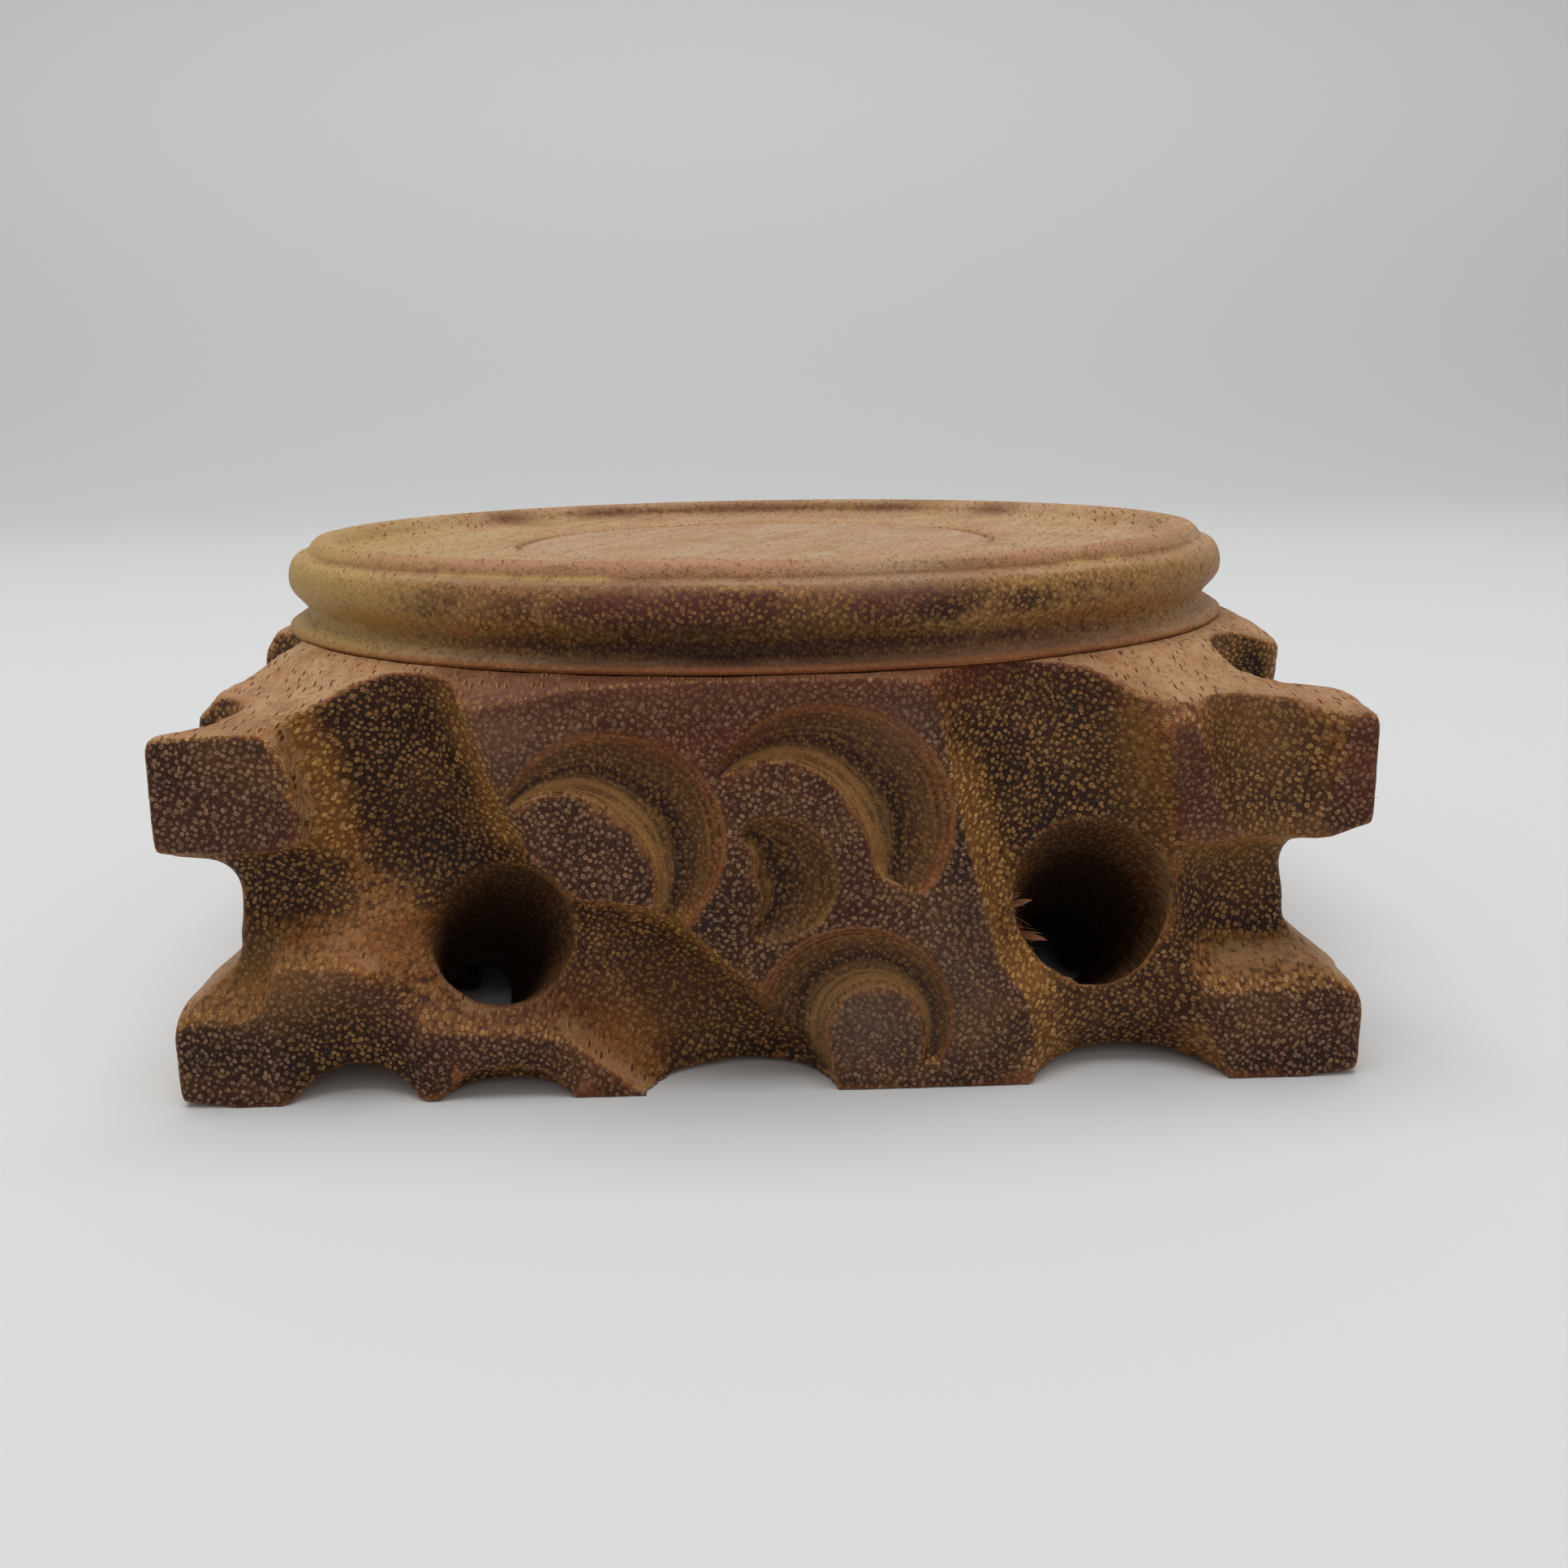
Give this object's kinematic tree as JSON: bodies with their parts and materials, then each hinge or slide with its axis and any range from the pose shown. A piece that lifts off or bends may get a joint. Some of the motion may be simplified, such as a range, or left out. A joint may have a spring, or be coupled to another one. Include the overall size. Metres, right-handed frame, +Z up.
{
  "type": "square display stand",
  "caption": "Square carved hardwood display stand: a hollow openwork base with scrolled gouges, and a turned round tray with a disc let into its floor.",
  "frame": {"origin": "on the table, under the middle of the stand", "axes": "+Z up, out of the tray; the front face of the base looks along -Y and the sides of the square lie along X and Y"},
  "size_m": [0.1, 0.1, 0.0442],
  "materials": {
    "base_wood": "raw carved tropical hardwood, end grain with tan pore dots",
    "tray_wood": "raw turned hardwood, lightly sanded",
    "disc_wood": "raw hardwood, sanded flat"
  },
  "bodies": {
    "root": {"carved_base": "base_wood", "turned_tray": "tray_wood", "centre_disc": "disc_wood"}
  },
  "joints": []
}
